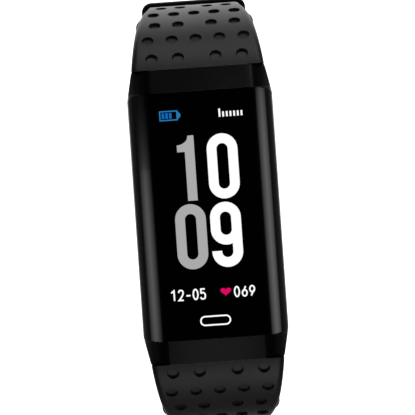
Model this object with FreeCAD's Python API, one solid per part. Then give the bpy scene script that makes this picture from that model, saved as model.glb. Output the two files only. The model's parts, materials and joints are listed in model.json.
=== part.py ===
"""Fitness tracker band: a slim capsule case on a two-piece silicone strap with a watch buckle.

Frame: +Z out of the display, +Y to 12 o'clock, +X to the display's right. The origin is the centre
of the round lower half of the wrist loop. Millimetres. A profile point is (distance from the middle
plane towards the strap, height), and side is +1 for the upper strap and -1 for the lower one.
"""
import FreeCAD, Part
import math
import os

from FreeCAD import Vector, Rotation, Placement

# ---- driving dimensions of the loop -------------------------------------------------------------
LOOP_R = 28.95            # outer radius of the round lower half
STRAP_T = 2.2             # strap thickness past the root
FACE_Z = 41.5             # height of the display glass
CHIN_DEG = 28.0           # slope of the chins and of the strap where it leaves the case
SHOULDER_R = 18.0         # outer bend of the strap at the case
MID_R = LOOP_R - STRAP_T / 2

# ---- case ---------------------------------------------------------------------------------------
FACE_HALF = 16.25         # half length of the flat face, up to the creases
CASE_HALF = 19.4          # half length of the case at the seam with the strap
CHIN_DROP = (CASE_HALF - FACE_HALF) * math.tan(math.radians(CHIN_DEG))
CASE_W = 19.2             # full width
CASE_T = 11.2             # face to back
CASE_END_W = 17.6         # width at the seam with the strap
TAPER_Y = 15.4            # where the sides start to draw in
ROLL_HALF = 6.3           # half width of the flat part of the glass
WAIST_DEPTH = 4.2         # the case is widest this far below the face
BACK_HALF_W = 7.2         # half width of the flat back
LENS_DEPTH = 2.6          # the rolled sides of the glass reach this far down
LENS_WALL = 0.95
LIP_T = 1.3               # thickness of the chins' free edge
SPLIT_DEPTH = 7.8         # seam between the upper housing and the rear cover
WALL = 1.1
END_WALL_Y = 17.4         # outer face of the end walls, under the chins
BACK_Z = FACE_Z - CASE_T

# ---- tongues and strap roots --------------------------------------------------------------------
TONGUE_W = 12.0
TONGUE_T = 2.0
TONGUE_DEPTH = 9.2        # middle of the tongue below the face
TONGUE_TIP_Y = 25.6
SLIP = 0.08               # clearance of the socket liner on the tongue
LINER_T = 0.4
LINER_TIP_Y = 22.6
SEAM_GAP = 0.1            # between the case and the strap root
FLANGE_Y = 26.9
FLANGE_TOP_DEPTH = 9.4
FLANGE_TIP_W = 15.9
FLANGE_CORNER_R = 1.3
ROOT_BOTTOM_DEPTH = 11.4
ROOT_BEND_Y = 22.0        # the root's underside turns down from here

# ---- strap --------------------------------------------------------------------------------------
STRAP_ROOT_W = 17.5
STRAP_MID_W = 16.2        # width at STRAP_MID_Y
STRAP_MID_Y = 24.6
STRAP_W = 12.8
PIVOT_DEG = 80.0          # bend reached at the shoulder pivot
JOINT_GAP = 0.25          # clearance of a segment's round end
BAR_ARC = 20.6            # spring bar, measured along the strap from the middle pivot
TAIL_FLEX_ARC = 23.5      # second flex of the long strap, from its middle pivot
TAIL_TIP_ARC = 50.6       # tip of the long strap, from its middle pivot
HOLE_FIRST_ARC = 8.0
HOLE_PITCH = 6.2
HOLE_COUNT = 7
HOLE_R = 1.15

# ---- keepers and buckle -------------------------------------------------------------------------
KEEPER_LEN = 4.6
KEEPER_TOP_Z = 22.6
KEEPER_WALL = 0.7
KEEPER_SIDE_GAP = 0.1
KEEPER_ROOM = 2.3         # spare room for the second strap layer
FIXED_KEEPER_ARC = 11.0
FIXED_KEEPER_LEN = 4.0
BAR_R = 0.7
BORE_R = 0.76
STRAP_END_R = 1.9
BUCKLE_W = 17.0
BUCKLE_EAR = 1.7
BUCKLE_LEN = 11.4
TANG_R = 0.75
TANG_RING_R = 1.5
TANG_START = Vector(0, 0, 0.75)
TANG_END = Vector(0, BUCKLE_LEN + 0.2, 2.25)
BUCKLE_HALF_T = 1.75      # half thickness of the frame round the spring bar
BUCKLE_END_TOP = 2.2      # the raised cross bar, above the spring bar's axis
BUCKLE_END_LOW = -0.5
SLOT_HALF = 1.6

# ---- inside the case ----------------------------------------------------------------------------
CAVITY_W = 15.6
BOARD_W = 14.6
BOARD_L = 30.0
BOARD_DEPTH = 3.9
BOARD_T = 0.8
MOTOR_Y = 13.2
MOTOR_DEPTH = 6.75
MOTOR_R = 1.7
MOTOR_LEFT = -4.1
MOTOR_LEN = 5.0
SHAFT_R = 0.35
WEIGHT_R = 1.5
WEIGHT_LEN = 2.4
SEAL_T = 0.35
WINDOW_R = 4.6
SCREW_X = 5.6
BOSS_R = 1.3
SCREW_Y = 14.2

X_AXIS = Vector(1, 0, 0)
Y_AXIS = Vector(0, 1, 0)
Z_AXIS = Vector(0, 0, 1)


# ---- helpers ------------------------------------------------------------------------------------
def box(x, y, z):
    """Box from three (low, high) pairs."""
    return Part.makeBox(x[1] - x[0], y[1] - y[0], z[1] - z[0], Vector(x[0], y[0], z[0]))


def slab(half_x, y, depth):
    """Box centred on X, with its Z range given as depths below the face."""
    return box((-half_x, half_x), y, (FACE_Z - depth[1], FACE_Z - depth[0]))


def rod(radius, start, direction, length):
    return Part.makeCylinder(radius, length, start, direction)


def cross_rod(radius, y, z, half):
    """Cylinder along X, centred."""
    return rod(radius, Vector(-half, y, z), X_AXIS, 2 * half)


def extrude_yz(edges, half):
    """Solid from a closed profile in the YZ plane, half wide each way along X."""
    face = Part.Face(Part.Wire(edges))
    face.translate(Vector(-half, 0, 0))
    return face.extrude(Vector(2 * half, 0, 0))


def line_edge(a, b):
    return Part.LineSegment(a, b).toShape()


def arc_edge(a, b, c):
    return Part.Arc(a, b, c).toShape()


def polygon(points):
    return [line_edge(a, b) for a, b in zip(points, points[1:] + points[:1])]


def yz(y, z):
    return Vector(0, y, z)


def flip(shape):
    """The mirror image on the lower side of the case."""
    return shape.mirror(Vector(0, 0, 0), Y_AXIS)


def on_side(shape, side):
    return shape if side > 0 else flip(shape)


def on_arc(shape, arc):
    """Puts a shape drawn at the origin (X across, Y along the strap, Z outwards) on the round half.

    arc is the distance along the strap from the middle pivot, on the upper side."""
    below = math.degrees(arc / MID_R)
    turn = Rotation(X_AXIS, -90.0 - below)
    angle = math.radians(below)
    place = Vector(0, MID_R * math.cos(angle), -MID_R * math.sin(angle))
    moved = shape.copy()
    moved.Placement = Placement(place, turn).multiply(moved.Placement)
    return moved


def one(shape):
    """The single solid of a boolean result."""
    clean = shape.removeSplitter()
    solids = clean.Solids
    return max(solids, key=lambda s: s.Volume) if solids else clean


def save(name, shape):
    shape.exportStep("parts/" + name + ".step")
    solids = shape.Solids
    valid = all(s.isValid() for s in solids)
    print(f"{name:26s} solids {len(solids)} valid {valid} volume {shape.Volume:9.2f}")


# ---- case envelope ------------------------------------------------------------------------------
def roll(sign, inset=0.0):
    """Rolled side of the top, from the flat glass down to the widest point."""
    half = CASE_W / 2 - inset
    top = FACE_Z - inset
    flat = ROLL_HALF - inset * 0.3
    waist = FACE_Z - WAIST_DEPTH
    return Part.Arc(Vector(sign * flat, 0, top),
                    Vector(sign * (flat + (half - flat) * 0.74), 0, top - (top - waist) * 0.28),
                    Vector(sign * half, 0, waist))


def long_prism(edges, reach):
    """Solid from a closed profile in the XZ plane, reaching this far each way along Y."""
    face = Part.Face(Part.Wire(Part.__sortEdges__(edges)))
    face.translate(Vector(0, -reach, 0))
    return face.extrude(Vector(0, 2 * reach, 0))


def cross_section(inset=0.0):
    """Case section across its width: flat top, rolled sides, sides tucked in towards the back."""
    back_half = BACK_HALF_W - inset
    bottom = BACK_Z + inset
    right, left = roll(1, inset), roll(-1, inset)
    edges = [line_edge(left.StartPoint, right.StartPoint),
             right.toShape(),
             left.toShape(),
             line_edge(Vector(back_half, 0, bottom), Vector(-back_half, 0, bottom))]
    for sign, arc in ((1, right), (-1, left)):
        low = arc.EndPoint
        belly = Part.Arc(low, low + Vector(-sign * 0.35, 0, -3.2), Vector(sign * back_half, 0, bottom))
        edges.append(belly.toShape())
    return long_prism(edges, CASE_HALF + 1)


def chin_section(side):
    """Prism with the same rolled top that slopes down along one chin, so the rolls meet in a mitre."""
    right, left = roll(1), roll(-1)
    deep = Vector(0, 0, -3 * CASE_T)
    edges = [line_edge(left.StartPoint, right.StartPoint), right.toShape(), left.toShape(),
             line_edge(right.EndPoint, right.EndPoint + deep),
             line_edge(right.EndPoint + deep, left.EndPoint + deep),
             line_edge(left.EndPoint + deep, left.EndPoint)]
    prism = long_prism(edges, 3 * CASE_HALF)
    prism.rotate(yz(FACE_HALF, FACE_Z), X_AXIS, -CHIN_DEG)
    return on_side(prism, side)


def planform(half_w, end_half_w, taper_y, end_y, low, high):
    """Upright prism with straight sides that draw in towards both ends."""
    points = [Vector(sx * w, sy * y, low)
              for sx, sy, w, y in ((1, -1, end_half_w, end_y), (1, -1, half_w, taper_y),
                                   (1, 1, half_w, taper_y), (1, 1, end_half_w, end_y),
                                   (-1, 1, end_half_w, end_y), (-1, 1, half_w, taper_y),
                                   (-1, -1, half_w, taper_y), (-1, -1, end_half_w, end_y))]
    return Part.Face(Part.Wire(polygon(points))).extrude(Vector(0, 0, high - low))


def chin_profile():
    """Side view of the case: flat face, sloping chins, end walls set back under them."""
    tip_z = FACE_Z - CHIN_DROP
    lip_z = tip_z - LIP_T
    right = [yz(FACE_HALF, FACE_Z), yz(CASE_HALF, tip_z), yz(CASE_HALF, lip_z),
             yz(END_WALL_Y, lip_z), yz(END_WALL_Y, BACK_Z)]
    left = [yz(-p.y, p.z) for p in reversed(right)]
    return extrude_yz(polygon(right + left), CASE_W)


def envelope():
    body = cross_section().common(chin_profile())
    body = body.common(chin_section(1)).common(chin_section(-1))
    plan = planform(CASE_W / 2, CASE_END_W / 2, TAPER_Y, CASE_HALF, BACK_Z - 1, FACE_Z + 1)
    return one(body.common(plan))


def cavity():
    """Room for the electronics inside the walls."""
    room = slab(CAVITY_W / 2, (-END_WALL_Y + WALL, END_WALL_Y - WALL), (0.9, CASE_T - 1.0))
    tucked = cross_section(WALL)
    return one(room.common(tucked))


def lens_zone():
    """Everything between the creases and above the lower edge of the glass."""
    return box((-CASE_W, CASE_W), (-FACE_HALF, FACE_HALF), (FACE_Z - LENS_DEPTH, FACE_Z + 1))


def make_case(body, room):
    lens = body.common(lens_zone())
    inner = cross_section(LENS_WALL).common(box((-CASE_W, CASE_W), (-FACE_HALF + 0.8, FACE_HALF - 0.8),
                                           (FACE_Z - LENS_DEPTH - 1, FACE_Z)))
    save("lens_cover", one(lens.cut(inner)))

    upper = body.common(box((-CASE_W, CASE_W), (-CASE_HALF - 1, CASE_HALF + 1),
                            (FACE_Z - SPLIT_DEPTH, FACE_Z + 1)))
    upper = upper.cut(lens_zone()).cut(room)
    save("upper_housing", one(upper))

    rear = body.common(box((-CASE_W, CASE_W), (-CASE_HALF - 1, CASE_HALF + 1),
                           (BACK_Z - 1, FACE_Z - SPLIT_DEPTH)))
    rear = rear.cut(room)
    rear = rear.cut(rod(WINDOW_R, Vector(0, 0, BACK_Z - 1), Z_AXIS, 3))
    groove = seal_ring(0.02)
    for x in (-SCREW_X, SCREW_X):
        for y in (-SCREW_Y, SCREW_Y):
            boss = rod(BOSS_R, Vector(x, y, BACK_Z + 0.6), Z_AXIS, CASE_T - SPLIT_DEPTH - 0.6)
            rear = rear.fuse(boss)
            rear = rear.cut(screw_shape(x, y, 0.02))
    rear = rear.fuse(tongue())
    rear = rear.cut(usb_slot())
    rear = rear.cut(groove)
    save("rear_cover", one(rear))
    save("seal_ring", one(seal_ring(0.0)))


def seal_ring(grow):
    """Flat rubber ring let into the rear cover's rim."""
    half_w = CAVITY_W / 2 + 0.35
    half_l = END_WALL_Y - WALL + 0.35
    depth = (SPLIT_DEPTH, SPLIT_DEPTH + SEAL_T + grow)
    ring = slab(half_w + grow, (-half_l - grow, half_l + grow), depth)
    hole = slab(CAVITY_W / 2 - 0.02, (-half_l + 0.36, half_l - 0.36), (depth[0] - 1, depth[1] + 1))
    return ring.cut(hole)


def screw_shape(x, y, grow):
    """Countersunk screw driven from the back."""
    head = Part.makeCone(1.0 + grow, 0.55 + grow, 0.6, Vector(x, y, BACK_Z), Z_AXIS)
    return head.fuse(rod(0.55 + grow, Vector(x, y, BACK_Z + 0.5), Z_AXIS, 2.4 + grow))


def make_screws():
    screws = []
    for x in (-SCREW_X, SCREW_X):
        for y in (-SCREW_Y, SCREW_Y):
            drive = box((x - 0.45, x + 0.45), (y - 0.12, y + 0.12), (BACK_Z - 0.1, BACK_Z + 0.3))
            cross = box((x - 0.12, x + 0.12), (y - 0.45, y + 0.45), (BACK_Z - 0.1, BACK_Z + 0.3))
            screws.append(one(screw_shape(x, y, 0.0).cut(drive).cut(cross)))
    save("rear_screws", Part.makeCompound(screws))


# ---- tongues ------------------------------------------------------------------------------------
def tongue():
    """Plain locating tongue of the upper end, part of the rear cover."""
    blade = slab(TONGUE_W / 2, (END_WALL_Y - 0.4, TONGUE_TIP_Y),
                 (TONGUE_DEPTH - TONGUE_T / 2, TONGUE_DEPTH + TONGUE_T / 2))
    tips = [e for e in blade.Edges
            if e.BoundBox.YMin > TONGUE_TIP_Y - 0.01 and e.BoundBox.ZLength > 1]
    return blade.makeChamfer(0.8, tips)


def usb_slot():
    return slab(TONGUE_W / 2 + 0.02, (-END_WALL_Y - 1, -END_WALL_Y + 2.2),
                (TONGUE_DEPTH - TONGUE_T / 2 - 0.02, TONGUE_DEPTH + TONGUE_T / 2 + 0.02))


def make_usb_plug():
    """Blade with four contacts on its outer face, rooted in the lower end wall."""
    blade = flip(slab(TONGUE_W / 2, (END_WALL_Y - 2.1, TONGUE_TIP_Y),
                      (TONGUE_DEPTH - TONGUE_T / 2, TONGUE_DEPTH + TONGUE_T / 2)))
    tips = [e for e in blade.Edges
            if e.BoundBox.YMax < -TONGUE_TIP_Y + 0.01 and e.BoundBox.ZLength > 1]
    blade = blade.makeChamfer(0.8, tips)
    contacts = []
    for x, tip in ((-3.5, 0.6), (-1.0, 1.4), (1.0, 1.4), (3.5, 0.6)):
        pad = flip(slab(0.55, (END_WALL_Y + 0.3, TONGUE_TIP_Y - tip),
                        (TONGUE_DEPTH - TONGUE_T / 2, TONGUE_DEPTH - TONGUE_T / 2 + 0.25)))
        pad.translate(Vector(x, 0, 0))
        contacts.append(pad)
        blade = blade.cut(pad)
    save("usb_plug_blade", one(blade))
    save("usb_contacts", Part.makeCompound(contacts))


# ---- electronics --------------------------------------------------------------------------------
def rounded_slab(half_x, half_y, depth, radius, y_mid=0.0, x_mid=0.0):
    plate = slab(half_x, (y_mid - half_y, y_mid + half_y), depth)
    plate.translate(Vector(x_mid, 0, 0))
    corners = [e for e in plate.Edges if e.BoundBox.ZLength > (depth[1] - depth[0]) * 0.9]
    return plate.makeFillet(radius, corners)


def make_display():
    save("display_panel", rounded_slab(6.8, 13.0, (1.1, 2.1), 0.6, 1.0))
    tray = rounded_slab(7.2, 14.2, (2.15, 2.9), 0.8, 0.2)
    tray = tray.cut(slab(6.4, (-12.6, 13.2), (2.1, 2.5)))
    save("backlight_tray", one(tray))
    save("touch_key_film", rounded_slab(2.6, 0.9, (1.05, 1.3), 0.4, -13.85))
    ribbon = slab(3.0, (-14.95, -14.5), (1.6, 3.6)).fuse(slab(3.0, (-14.95, -12.6), (3.4, 3.6)))
    save("display_flex", one(ribbon))


def make_board():
    board = rounded_slab(BOARD_W / 2, BOARD_L / 2, (BOARD_DEPTH, BOARD_DEPTH + BOARD_T), 1.5)
    for x in (-SCREW_X, SCREW_X):
        for y in (-SCREW_Y, SCREW_Y):
            board = board.cut(rod(1.4, Vector(x, y, FACE_Z - 6), Z_AXIS, 4))
    save("main_board", one(board))
    top = BOARD_DEPTH
    save("processor_chip", slab(2.5, (-3.5, 1.5), (top - 0.85, top)))
    memory = slab(1.5, (4.0, 7.6), (top - 0.75, top))
    memory.translate(Vector(-3.4, 0, 0))
    save("memory_chip", memory)
    accel = slab(1.0, (4.4, 6.4), (top - 0.8, top))
    accel.translate(Vector(3.2, 0, 0))
    save("accelerometer_chip", accel)
    antenna = slab(4.2, (11.2, 12.4), (top - 0.7, top))
    save("antenna", antenna)
    battery = rounded_slab(6.4, 8.6, (4.95, 7.9), 0.9, 0.6)
    save("battery_cell", battery)


def make_motor():
    z = FACE_Z - MOTOR_DEPTH
    left = MOTOR_LEFT
    can = rod(MOTOR_R, Vector(left, MOTOR_Y, z), X_AXIS, MOTOR_LEN)
    can = can.cut(rod(SHAFT_R + 0.04, Vector(left + 1.0, MOTOR_Y, z), X_AXIS, MOTOR_LEN))
    save("motor_can", one(can))
    shaft = rod(SHAFT_R, Vector(left + 1.1, MOTOR_Y, z), X_AXIS, MOTOR_LEN + 2.0)
    start = left + MOTOR_LEN + 0.4
    weight = rod(WEIGHT_R, Vector(start, MOTOR_Y, z), X_AXIS, WEIGHT_LEN)
    weight = weight.cut(box((start - 1, start + WEIGHT_LEN + 1), (MOTOR_Y - 3, MOTOR_Y + 3),
                            (z + 0.55, z + 3)))
    weight = weight.cut(rod(SHAFT_R, Vector(start - 1, MOTOR_Y, z), X_AXIS, WEIGHT_LEN + 2))
    save("motor_shaft", shaft)
    save("motor_weight", one(weight))


def make_sensor():
    """Optical pulse sensor behind a round window in the rear cover."""
    window = rod(WINDOW_R - 0.03, Vector(0, 0, BACK_Z), Z_AXIS, 1.0)
    dome = rod(WINDOW_R - 0.5, Vector(0, 0, BACK_Z - 0.4), Z_AXIS, 0.4)
    save("sensor_window", one(window.fuse(dome)))
    board = slab(4.4, (-5.0, 5.0), (8.15, 8.65))
    save("sensor_board", board)
    leds = []
    for y in (-3.2, 3.2):
        led = slab(0.8, (y - 0.6, y + 0.6), (8.65, 9.25))
        leds.append(led)
    save("green_leds", Part.makeCompound(leds))
    save("photodiode", slab(1.3, (-1.3, 1.3), (8.65, 9.2)))
    barrier = rod(4.2, Vector(0, 0, FACE_Z - 10.1), Z_AXIS, 1.4)
    for y, half_x, half_y in ((-2.9, 1.9, 0.95), (2.9, 1.9, 0.95), (0.0, 1.6, 1.5)):
        barrier = barrier.cut(slab(half_x, (y - half_y, y + half_y), (8.0, 10.6)))
    save("light_barrier", one(barrier))


# ---- strap --------------------------------------------------------------------------------------
def shoulder_point(degrees, inward=0.0):
    """Point on the outer bend where the strap slopes down by this angle, moved inwards."""
    a = math.radians(degrees)
    start = math.radians(CHIN_DEG)
    y = CASE_HALF + SHOULDER_R * (math.sin(a) - math.sin(start))
    z = FACE_Z - CHIN_DROP - SHOULDER_R * (math.cos(start) - math.cos(a))
    return yz(y - inward * math.sin(a), z - inward * math.cos(a))


def strap_plan():
    """Upright prism that narrows from the case to the strap's even width, for one side."""
    z0 = BACK_Z - 12
    half = STRAP_ROOT_W / 2
    tip = STRAP_W / 2
    mid = STRAP_MID_W / 2
    low_y = LOOP_R - 0.6
    end_y = LOOP_R + 0.5
    edges = [
        line_edge(Vector(-half, CASE_HALF - 3, z0), Vector(half, CASE_HALF - 3, z0)),
        line_edge(Vector(half, CASE_HALF - 3, z0), Vector(half, CASE_HALF, z0)),
        arc_edge(Vector(half, CASE_HALF, z0), Vector(mid, STRAP_MID_Y, z0), Vector(tip, low_y, z0)),
        line_edge(Vector(tip, low_y, z0), Vector(tip, end_y, z0)),
        line_edge(Vector(tip, end_y, z0), Vector(-tip, end_y, z0)),
        line_edge(Vector(-tip, end_y, z0), Vector(-tip, low_y, z0)),
        arc_edge(Vector(-tip, low_y, z0), Vector(-mid, STRAP_MID_Y, z0), Vector(-half, CASE_HALF, z0)),
        line_edge(Vector(-half, CASE_HALF, z0), Vector(-half, CASE_HALF - 3, z0)),
    ]
    return Part.Face(Part.Wire(edges)).extrude(Vector(0, 0, FACE_Z - z0 + 1))


def root_profile():
    """Side view of the strap root, from the seam at the chin to the shoulder pivot."""
    end_deg = PIVOT_DEG - math.degrees((STRAP_T / 2 + JOINT_GAP) / SHOULDER_R)
    top = shoulder_point(CHIN_DEG)
    seam_y = CASE_HALF + SEAM_GAP
    start = yz(seam_y, top.z - SEAM_GAP * math.tan(math.radians(CHIN_DEG)))
    outer_mid = shoulder_point((CHIN_DEG + end_deg) / 2)
    outer_end = shoulder_point(end_deg)
    inner_end = shoulder_point(end_deg, STRAP_T)
    bottom = FACE_Z - ROOT_BOTTOM_DEPTH
    under_lip = FACE_Z - CHIN_DROP - LIP_T - SEAM_GAP
    wall_y = END_WALL_Y + SEAM_GAP
    bend = yz((ROOT_BEND_Y + inner_end.y) / 2 + 0.75, (bottom + inner_end.z) / 2 + 0.75)
    return [
        arc_edge(start, outer_mid, outer_end),
        line_edge(outer_end, inner_end),
        arc_edge(inner_end, bend, yz(ROOT_BEND_Y, bottom)),
        line_edge(yz(ROOT_BEND_Y, bottom), yz(wall_y, bottom)),
        line_edge(yz(wall_y, bottom), yz(wall_y, under_lip)),
        line_edge(yz(wall_y, under_lip), yz(seam_y, under_lip)),
        line_edge(yz(seam_y, under_lip), start),
    ]


def flange():
    """Wider lower layer of the root sleeve, with rounded corners."""
    y0 = END_WALL_Y + SEAM_GAP
    root_half = STRAP_ROOT_W / 2
    tip_half = FLANGE_TIP_W / 2
    z = FACE_Z - ROOT_BOTTOM_DEPTH
    points = [Vector(-root_half, y0, z), Vector(root_half, y0, z), Vector(root_half, CASE_HALF, z),
              Vector(tip_half, FLANGE_Y, z), Vector(-tip_half, FLANGE_Y, z),
              Vector(-root_half, CASE_HALF, z)]
    plate = Part.Face(Part.Wire(polygon(points))).extrude(
        Vector(0, 0, ROOT_BOTTOM_DEPTH - FLANGE_TOP_DEPTH))
    corners = [e for e in plate.Edges
               if e.BoundBox.YMin > FLANGE_Y - 0.1 and e.BoundBox.ZLength > 1]
    return plate.makeFillet(FLANGE_CORNER_R, corners)


def socket(grow, tip_y):
    """Room for the tongue, larger all round by grow."""
    half_t = TONGUE_T / 2 + grow
    return slab(TONGUE_W / 2 + grow, (END_WALL_Y, tip_y), (TONGUE_DEPTH - half_t, TONGUE_DEPTH + half_t))


def make_root(side, name):
    prism = extrude_yz(root_profile(), STRAP_ROOT_W)
    root = prism.common(strap_plan())
    root = root.fuse(flange())
    root = root.cut(socket(SLIP + LINER_T, LINER_TIP_Y + 0.02))
    root = root.cut(socket(SLIP, TONGUE_TIP_Y + 0.3))
    save("strap_root_" + name, on_side(one(root), side))
    liner = slab(TONGUE_W / 2 + SLIP + LINER_T - 0.01, (END_WALL_Y + SEAM_GAP, LINER_TIP_Y),
                 (TONGUE_DEPTH - TONGUE_T / 2 - SLIP - LINER_T + 0.01,
                  TONGUE_DEPTH + TONGUE_T / 2 + SLIP + LINER_T - 0.01))
    liner = liner.cut(socket(SLIP, LINER_TIP_Y + 1))
    save("socket_liner_" + name, on_side(one(liner), side))


def arm(side, name):
    """Strap from the shoulder pivot, round the last of the bend and down the straight side."""
    pivot = shoulder_point(PIVOT_DEG, STRAP_T / 2)
    outer = shoulder_point(PIVOT_DEG)
    inner = shoulder_point(PIVOT_DEG, STRAP_T)
    last = shoulder_point(90.0)
    last_in = shoulder_point(90.0, STRAP_T)
    mid_deg = (PIVOT_DEG + 90.0) / 2
    low = STRAP_T / 2 + JOINT_GAP
    edges = [
        arc_edge(outer, shoulder_point(mid_deg), last),
        line_edge(last, yz(LOOP_R, low)),
        line_edge(yz(LOOP_R, low), yz(LOOP_R - STRAP_T, low)),
        line_edge(yz(LOOP_R - STRAP_T, low), last_in),
        arc_edge(last_in, shoulder_point(mid_deg, STRAP_T), inner),
        line_edge(inner, outer),
    ]
    piece = extrude_yz(edges, STRAP_W / 2)
    piece = piece.fuse(cross_rod(STRAP_T / 2, pivot.y, pivot.z, STRAP_W / 2))
    save("strap_arm_" + name, on_side(one(piece), side))


def band(arc_from, arc_to, round_start=True):
    """Length of strap on the round half, between two distances from the middle pivot."""
    angles = [arc / MID_R for arc in (arc_from, (arc_from + arc_to) / 2, arc_to)]
    outer = [yz(LOOP_R * math.cos(a), -LOOP_R * math.sin(a)) for a in angles]
    in_r = LOOP_R - STRAP_T
    inner = [yz(in_r * math.cos(a), -in_r * math.sin(a)) for a in angles]
    edges = [
        arc_edge(*outer),
        line_edge(outer[2], inner[2]),
        arc_edge(*inner[::-1]),
        line_edge(inner[0], outer[0]),
    ]
    piece = extrude_yz(edges, STRAP_W / 2)
    if round_start:
        a = angles[0]
        piece = piece.fuse(cross_rod(STRAP_T / 2, MID_R * math.cos(a), -MID_R * math.sin(a), STRAP_W / 2))
    return piece


def make_buckle_end():
    """Last length of the short strap: an eye round the spring bar, slotted for the tang."""
    piece = band(0.0, BAR_ARC)
    eye = on_arc(cross_rod(STRAP_END_R, 0, 0, STRAP_W / 2), BAR_ARC)
    bore = on_arc(cross_rod(BAR_R, 0, 0, STRAP_W), BAR_ARC)
    slot = on_arc(box((-SLOT_HALF, SLOT_HALF), (-2.6, 4), (-4, 4)), BAR_ARC)
    piece = piece.fuse(eye).cut(slot).cut(bore)
    save("strap_end_upper", one(piece))
    save("spring_bar", on_arc(cross_rod(BAR_R, 0, 0, BUCKLE_W / 2 - 0.3), BAR_ARC))

    length = (-FIXED_KEEPER_LEN / 2, FIXED_KEEPER_LEN / 2)
    half = STRAP_W / 2
    inner = box((-half, half), length, (-STRAP_T / 2, STRAP_T / 2 + KEEPER_ROOM))
    outer = box((-half - KEEPER_WALL, half + KEEPER_WALL), length,
                (-STRAP_T / 2 - 0.6, STRAP_T / 2 + KEEPER_ROOM + KEEPER_WALL))
    along = [e for e in outer.Edges if e.BoundBox.YLength > FIXED_KEEPER_LEN * 0.9]
    loop = on_arc(outer.makeFillet(1.0, along).cut(inner), FIXED_KEEPER_ARC)
    save("fixed_keeper", one(loop.cut(band(0.0, BAR_ARC, False))))


def make_buckle():
    """Frame on two ears, with a raised cross bar, and the tang that rests on the cross bar."""
    half = BUCKLE_W / 2
    side_profile = [yz(-BUCKLE_HALF_T, 0), yz(0, BUCKLE_HALF_T), yz(BUCKLE_LEN - 2.2, BUCKLE_END_TOP),
                    yz(BUCKLE_LEN, 1.3), yz(BUCKLE_LEN, BUCKLE_END_LOW),
                    yz(BUCKLE_LEN - 3.0, BUCKLE_END_LOW), yz(0, -BUCKLE_HALF_T)]
    edges = [
        arc_edge(side_profile[6], side_profile[0], side_profile[1]),
        line_edge(side_profile[1], side_profile[2]),
        arc_edge(side_profile[2], yz(BUCKLE_LEN - 0.6, 2.0), side_profile[3]),
        line_edge(side_profile[3], side_profile[4]),
        line_edge(side_profile[4], side_profile[5]),
        line_edge(side_profile[5], side_profile[6]),
    ]
    frame = extrude_yz(edges, half)
    window = box((-half + BUCKLE_EAR, half - BUCKLE_EAR), (-5, BUCKLE_LEN - 2.4), (-5, 5))
    under = box((-half + BUCKLE_EAR, half - BUCKLE_EAR), (-5, BUCKLE_LEN + 2), (-5, 0.15))
    notch = cross_notch()
    frame = frame.cut(window).cut(under).cut(notch)
    frame = frame.cut(cross_rod(BORE_R, 0, 0, half + 1))
    save("buckle_frame", on_arc(one(frame), BAR_ARC))

    ring = cross_rod(TANG_RING_R, 0, 0, SLOT_HALF - 0.25)
    way = TANG_END - TANG_START
    pin = rod(TANG_R, TANG_START, way, way.Length)
    pin = pin.fuse(Part.makeSphere(TANG_R, TANG_END))
    tang = ring.fuse(pin).cut(cross_rod(BORE_R, 0, 0, 3))
    save("buckle_tang", on_arc(one(tang), BAR_ARC))


def cross_notch():
    """Rest for the tang in the cross bar."""
    way = TANG_END - TANG_START
    groove = rod(TANG_R + 0.06, TANG_START, way, way.Length + 3)
    above = groove.copy()
    above.translate(Vector(0, 0, 1.0))
    return groove.fuse(above)


def make_tail():
    """Long strap: a plain length, then the length with the adjustment holes and a round tip."""
    middle = band(0.0, TAIL_FLEX_ARC - STRAP_T / 2 - JOINT_GAP)
    tail = band(TAIL_FLEX_ARC, TAIL_TIP_ARC)
    tip = on_arc(box((-STRAP_W, STRAP_W), (-STRAP_W / 2, STRAP_W / 2), (-4, 4)), TAIL_TIP_ARC)
    keep = on_arc(rod(STRAP_W / 2, Vector(0, -STRAP_W / 2, -5), Z_AXIS, 10), TAIL_TIP_ARC)
    tail = tail.cut(tip.cut(keep))
    for n in range(HOLE_COUNT):
        arc = HOLE_FIRST_ARC + n * HOLE_PITCH
        hole = on_arc(rod(HOLE_R, Vector(0, 0, -4), Z_AXIS, 8), arc)
        if arc < TAIL_FLEX_ARC:
            middle = middle.cut(hole)
        else:
            tail = tail.cut(hole)
    save("strap_middle_lower", flip(one(middle)))
    save("strap_tail_lower", flip(one(tail)))


def make_free_keeper():
    """Loose loop on the short strap; its outer bridge lies on the strap."""
    y_in = LOOP_R - STRAP_T - KEEPER_ROOM
    y_out = LOOP_R + 0.15
    half = STRAP_W / 2 + KEEPER_SIDE_GAP
    z = (KEEPER_TOP_Z - KEEPER_LEN, KEEPER_TOP_Z)
    outer = box((-half - KEEPER_WALL, half + KEEPER_WALL), (y_in - KEEPER_WALL, y_out + KEEPER_WALL), z)
    upright = [e for e in outer.Edges if e.BoundBox.ZLength > KEEPER_LEN * 0.9]
    loop = outer.makeFillet(1.2, upright).cut(box((-half, half), (y_in, y_out), (z[0] - 1, z[1] + 1)))
    save("free_keeper", one(loop))


os.makedirs("parts", exist_ok=True)
case_body = envelope()
case_room = cavity()
make_case(case_body, case_room)
make_screws()
make_usb_plug()
make_display()
make_board()
make_motor()
make_sensor()
for strap_side, strap_name in ((1, "upper"), (-1, "lower")):
    make_root(strap_side, strap_name)
    arm(strap_side, strap_name)
make_buckle_end()
make_buckle()
make_tail()
make_free_keeper()
pivot = shoulder_point(PIVOT_DEG, STRAP_T / 2)
bar = on_arc(Part.Vertex(0, 0, 0), BAR_ARC).Point
print("shoulder pivot", round(pivot.y, 3), round(pivot.z, 3))
print("spring bar axis", round(bar.y, 3), round(bar.z, 3))
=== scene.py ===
"""Looks of the fitness tracker band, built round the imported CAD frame. Lengths are in millimetres
until a mesh is made, then metres. A profile point is (distance from the middle plane, height)."""
import json
import math

import bmesh
import bpy
from mathutils import Matrix, Vector


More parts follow.
